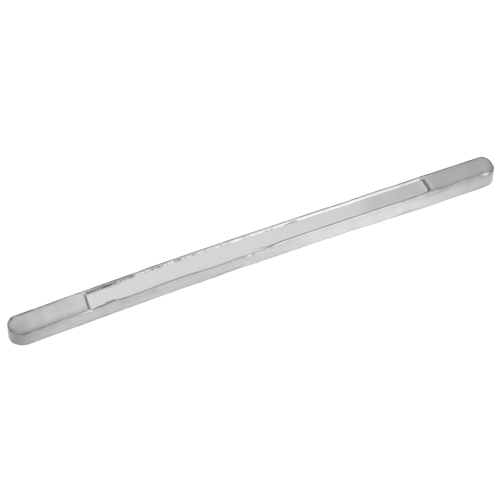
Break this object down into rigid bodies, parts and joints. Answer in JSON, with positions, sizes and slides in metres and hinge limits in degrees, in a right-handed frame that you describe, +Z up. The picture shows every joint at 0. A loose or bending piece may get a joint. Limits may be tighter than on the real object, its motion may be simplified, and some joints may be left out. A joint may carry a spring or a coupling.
{
  "type": "metal ingot",
  "caption": "Long slim cast metal ingot of solder-bar form, with drafted sides, round-cornered ends and a shallow tray between plain end pads.",
  "frame": {"origin": "middle of the flat base that the bar lies on", "axes": "+X along the bar, +Y across it, +Z up from the base to the tray"},
  "size_m": [0.4, 0.02, 0.015],
  "materials": {
    "cast_metal": "satin"
  },
  "bodies": {
    "root": {"ingot": "cast_metal"}
  },
  "joints": []
}
